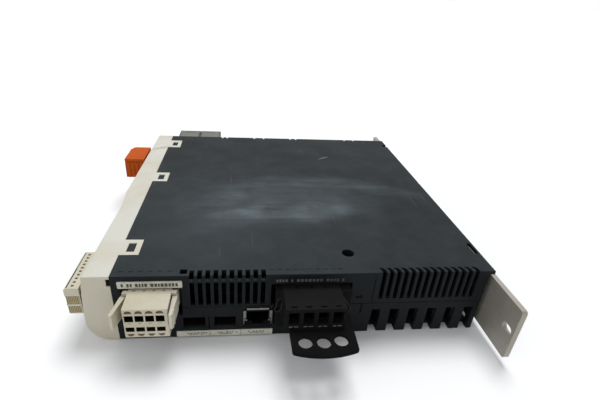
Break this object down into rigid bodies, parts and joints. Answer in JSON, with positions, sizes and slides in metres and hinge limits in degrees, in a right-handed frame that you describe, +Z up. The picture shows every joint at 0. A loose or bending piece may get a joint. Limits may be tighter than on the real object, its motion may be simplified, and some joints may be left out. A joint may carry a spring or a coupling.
{
  "type": "servo drive",
  "caption": "Slim servo drive lying on its side: dark vented case, cream front bezel with dial panel and flap, pull-off connector plugs and a slotted rear mounting plate.",
  "frame": {"origin": "middle of the resting side of bezel and case together, on the surface the drive lies on", "axes": "+X from the front bezel to the rear mounting plate, +Y from the connector face that is at the top in a cabinet to the one at the bottom, +Z up from the resting right side to the left side"},
  "size_m": [0.2475, 0.2809, 0.044],
  "materials": {
    "case_plastic": "fine moulded grain, slight sheen, scuffed",
    "bezel_plastic": "satin, slightly yellowed",
    "panel_grey": "fine moulded grain",
    "display_lens": "glossy smoked lens",
    "module_black": "moulded black plastic",
    "light_pipe": "clear acrylic",
    "button_grey": "satin",
    "dial_grey": "satin",
    "board_laminate": "solder mask over glass laminate",
    "card_plastic": "smooth",
    "contact_steel": "tinned sheet",
    "plug_cream": "moulded cream plastic",
    "plug_orange": "moulded orange plastic",
    "plug_black": "moulded black plastic",
    "clamp_metal": "nickel plated",
    "jack_metal": "tinned sheet",
    "label_film": "blank printed film",
    "plug_grey": "moulded grey plastic",
    "lid_grey": "moulded light grey plastic",
    "pin_brass": "tinned brass",
    "sink_aluminium": "extruded",
    "sink_black": "black anodised extrusion",
    "plate_steel": "zinc plated sheet",
    "screw_steel": "zinc plated",
    "fan_plastic": "glass-filled black plastic",
    "standoff_brass": "turned",
    "capacitor_sleeve": "shrink sleeve over aluminium can",
    "choke_winding": "enamelled copper winding",
    "capacitor_box": "moulded box"
  },
  "bodies": {
    "case": {"board_standoffs": "standoff_brass", "brake_header": "plug_black", "braking_resistor": "sink_aluminium", "bus_capacitors": "capacitor_sleeve", "bus_headers": "plug_black", "button_switches": "module_black", "card_socket": "contact_steel", "case_screw": "screw_steel", "charging_relays": "capacitor_box", "connector_labels": "label_film", "contact_pins": "pin_brass", "control_board": "board_laminate", "dial_encoder": "module_black", "display_module": "module_black", "display_window": "display_lens", "earth_screws": "screw_steel", "encoder_jack_insert": "module_black", "encoder_jack_shell": "jack_metal", "fan_frame": "fan_plastic", "film_capacitors": "capacitor_box", "filter_choke": "choke_winding", "front_bezel": "bezel_plastic", "front_board": "board_laminate", "heat_sink": "sink_black", "housing_cover": "case_plastic", "housing_tray": "case_plastic", "light_pipes": "light_pipe", "mains_header": "plug_black", "motor_header": "plug_black", "operator_panel": "panel_grey", "plate_screws": "screw_steel", "power_board": "board_laminate", "power_module": "module_black", "pulse_jacks": "module_black", "rear_plate": "plate_steel", "safety_board": "board_laminate", "safety_header": "plug_orange", "service_jack": "module_black", "signal_header": "module_black", "supply_header": "module_black", "supply_transformer": "choke_winding"},
    "mains_plug": {"mains_plug": "plug_black", "mains_plug_clamps": "clamp_metal", "strain_relief_tab": "plug_black"},
    "supply_plug": {"supply_plug": "plug_cream"},
    "supply_lever_left": {"supply_lever_left": "plug_cream"},
    "supply_lever_right": {"supply_lever_right": "plug_cream"},
    "signal_plug": {"signal_plug": "plug_cream"},
    "safety_plug": {"safety_plug": "plug_orange"},
    "resistor_plug": {"resistor_plug": "plug_grey", "resistor_plug_lid": "lid_grey"},
    "dc_bus_plug": {"dc_bus_plug": "plug_grey", "dc_bus_plug_lid": "lid_grey"},
    "fan_rotor": {"fan_rotor": "fan_plastic"},
    "escape_button": {"escape_button": "button_grey"},
    "enter_button": {"enter_button": "button_grey"},
    "dial_stem": {"dial_stem": "module_black"},
    "navigation_dial": {"navigation_dial": "dial_grey"},
    "service_flap": {"service_flap": "bezel_plastic"},
    "memory_card": {"memory_card": "card_plastic"}
  },
  "joints": [
    {"name": "mains_plug_pull", "type": "slide", "parent": "case", "child": "mains_plug", "axis": [0, -1, 0], "range_m": [0, 0.02]},
    {"name": "supply_plug_pull", "type": "slide", "parent": "case", "child": "supply_plug", "axis": [0, -1, 0], "range_m": [0, 0.018]},
    {"name": "lever_left_press", "type": "hinge", "parent": "supply_plug", "child": "supply_lever_left", "pos_m": [-0.0916, -0.1097, 0.028], "axis": [0, 0, 1], "range_deg": [0, 13]},
    {"name": "lever_right_open", "type": "hinge", "parent": "supply_plug", "child": "supply_lever_right", "pos_m": [-0.0665, -0.1097, 0.028], "axis": [0, 0, 1], "range_deg": [0, 13]},
    {"name": "signal_plug_pull", "type": "slide", "parent": "case", "child": "signal_plug", "axis": [-1, 0, 0], "range_m": [0, 0.016]},
    {"name": "safety_plug_pull", "type": "slide", "parent": "case", "child": "safety_plug", "axis": [-1, 0, 0], "range_m": [0, 0.016]},
    {"name": "resistor_plug_pull", "type": "slide", "parent": "case", "child": "resistor_plug", "axis": [0, 1, 0], "range_m": [0, 0.014]},
    {"name": "dc_bus_plug_pull", "type": "slide", "parent": "case", "child": "dc_bus_plug", "axis": [0, 1, 0], "range_m": [0, 0.014]},
    {"name": "fan_spin", "type": "hinge", "parent": "case", "child": "fan_rotor", "pos_m": [0.0855, 0.0917, 0.022], "axis": [0, 1, 0], "continuous": true},
    {"name": "escape_press", "type": "slide", "parent": "case", "child": "escape_button", "axis": [1, 0, 0], "range_m": [0, 0.0009], "stiffness_N_per_m": 400, "springref_m": -0.0005},
    {"name": "enter_press", "type": "slide", "parent": "case", "child": "enter_button", "axis": [1, 0, 0], "range_m": [0, 0.0009], "stiffness_N_per_m": 400, "springref_m": -0.0005},
    {"name": "dial_press", "type": "slide", "parent": "case", "child": "dial_stem", "axis": [1, 0, 0], "range_m": [0, 0.001], "stiffness_N_per_m": 600, "springref_m": -0.0005},
    {"name": "dial_turn", "type": "hinge", "parent": "dial_stem", "child": "navigation_dial", "pos_m": [-0.115, 0.0145, 0.022], "axis": [1, 0, 0], "continuous": true},
    {"name": "flap_open", "type": "hinge", "parent": "case", "child": "service_flap", "pos_m": [-0.1129, -0.0473, 0.0225], "axis": [0, 0, -1], "range_deg": [0, 110]},
    {"name": "card_pull", "type": "slide", "parent": "case", "child": "memory_card", "axis": [-1, 0, 0], "range_m": [0, 0.024]}
  ]
}
